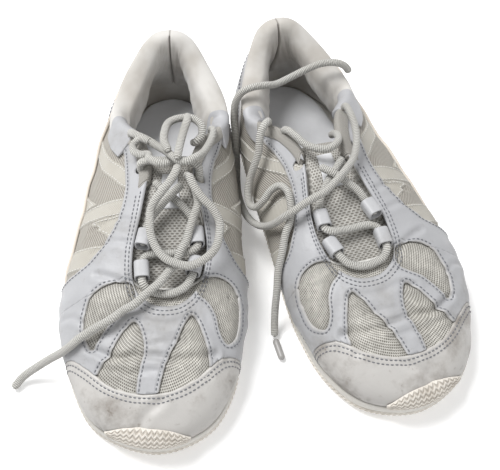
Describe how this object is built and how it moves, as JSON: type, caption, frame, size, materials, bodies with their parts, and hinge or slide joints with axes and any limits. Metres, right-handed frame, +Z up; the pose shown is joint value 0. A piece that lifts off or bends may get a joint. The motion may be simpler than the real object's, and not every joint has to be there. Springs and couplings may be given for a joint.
{
  "type": "pair of shoes",
  "caption": "Pair of low white laced cheer shoes with padded collars, stitched overlays over mesh, cream rubber soles and toe bumpers, one tied and one with loose laces.",
  "frame": {"origin": "on the ground, at the middle of the box round both shoes without their free lace ends", "axes": "+Z up; the right shoe's toe points along -Y and its outer side faces -X; the left shoe stands on the +X side, 104 mm across, with its toe turned 21.1 degrees outwards"},
  "size_m": [0.2599, 0.2592, 0.0825],
  "materials": {
    "sole_rubber": "matt cream, moulded rope and chevron texture",
    "midsole_foam": "matt off-white foam",
    "fibre_board": "matt pressed fibre",
    "sockliner_foam": "white knit over foam",
    "toe_leather": "satin white synthetic leather, scuffed",
    "overlay_leather": "satin cool-white synthetic leather",
    "mesh_cloth": "open silver-beige mesh",
    "ribbed_cloth": "ribbed warm-white textile",
    "stiffener": "thin thermoplastic sheet",
    "lining_cloth": "brushed warm-white lining",
    "tongue_mesh": "open mesh over foam",
    "label": "smooth blank woven label",
    "webbing": "smooth white tape",
    "lace_cord": "off-white woven cord",
    "aglet_plastic": "smooth grey sleeve"
  },
  "bodies": {
    "right_shoe": {"right_outsole": "sole_rubber", "right_midsole": "midsole_foam", "right_toe_bumper": "sole_rubber", "right_insole_board": "fibre_board", "right_toe_cap": "toe_leather", "right_vamp_overlay": "overlay_leather", "right_eyestay_outer": "overlay_leather", "right_eyestay_inner": "overlay_leather", "right_heel_panel": "overlay_leather", "right_vamp_cloth": "mesh_cloth", "right_quarter_outer": "ribbed_cloth", "right_quarter_inner": "ribbed_cloth", "right_toe_puff": "stiffener", "right_heel_counter": "stiffener", "right_vamp_lining": "lining_cloth", "right_quarter_lining": "lining_cloth", "right_collar_padding": "lining_cloth", "right_outer_loop_front": "webbing", "right_outer_loop_rear": "webbing", "right_inner_loop_front": "webbing", "right_inner_loop_rear": "webbing", "right_lace_lower": "lace_cord", "right_lace_upper": "lace_cord", "right_lace_bar": "lace_cord", "right_lace_tie": "lace_cord", "right_lace_bow": "lace_cord", "right_lace_end": "lace_cord"},
    "right_tongue_flap": {"right_tongue": "tongue_mesh", "right_tongue_label": "label"},
    "right_insole": {"right_sockliner": "sockliner_foam"},
    "left_shoe": {"left_outsole": "sole_rubber", "left_midsole": "midsole_foam", "left_toe_bumper": "sole_rubber", "left_insole_board": "fibre_board", "left_toe_cap": "toe_leather", "left_vamp_overlay": "overlay_leather", "left_eyestay_outer": "overlay_leather", "left_eyestay_inner": "overlay_leather", "left_heel_panel": "overlay_leather", "left_vamp_cloth": "mesh_cloth", "left_quarter_outer": "ribbed_cloth", "left_quarter_inner": "ribbed_cloth", "left_toe_puff": "stiffener", "left_heel_counter": "stiffener", "left_vamp_lining": "lining_cloth", "left_quarter_lining": "lining_cloth", "left_collar_padding": "lining_cloth", "left_outer_loop_front": "webbing", "left_outer_loop_rear": "webbing", "left_inner_loop_front": "webbing", "left_inner_loop_rear": "webbing", "left_lace_lower": "lace_cord", "left_lace_upper": "lace_cord", "left_lace_cross": "lace_cord", "left_lace_end_inner": "lace_cord", "left_lace_end_outer": "lace_cord", "left_aglet": "aglet_plastic"},
    "left_tongue_flap": {"left_tongue": "tongue_mesh", "left_tongue_label": "label"},
    "left_insole": {"left_sockliner": "sockliner_foam"}
  },
  "joints": [
    {"name": "right_tongue_flex", "type": "hinge", "parent": "right_shoe", "child": "right_tongue_flap", "pos_m": [-0.05592, -0.05885, 0.037], "axis": [-1, 0, 0], "range_deg": [0, 8]},
    {"name": "right_insole_lift", "type": "hinge", "parent": "right_shoe", "child": "right_insole", "pos_m": [-0.05892, -0.11985, 0.0162], "axis": [1, 0, 0], "range_deg": [0, 4]},
    {"name": "left_tongue_flex", "type": "hinge", "parent": "left_shoe", "child": "left_tongue_flap", "pos_m": [0.05749, -0.0375, 0.037], "axis": [-0.933, -0.36, 0], "range_deg": [0, 8]},
    {"name": "left_insole_lift", "type": "hinge", "parent": "left_shoe", "child": "left_insole", "pos_m": [0.08225, -0.09333, 0.0162], "axis": [0.933, 0.36, 0], "range_deg": [0, 4]},
    {"name": "left_shoe_aside", "type": "slide", "parent": "right_shoe", "child": "left_shoe", "axis": [1, 0, 0], "range_m": [0, 0.15]}
  ]
}
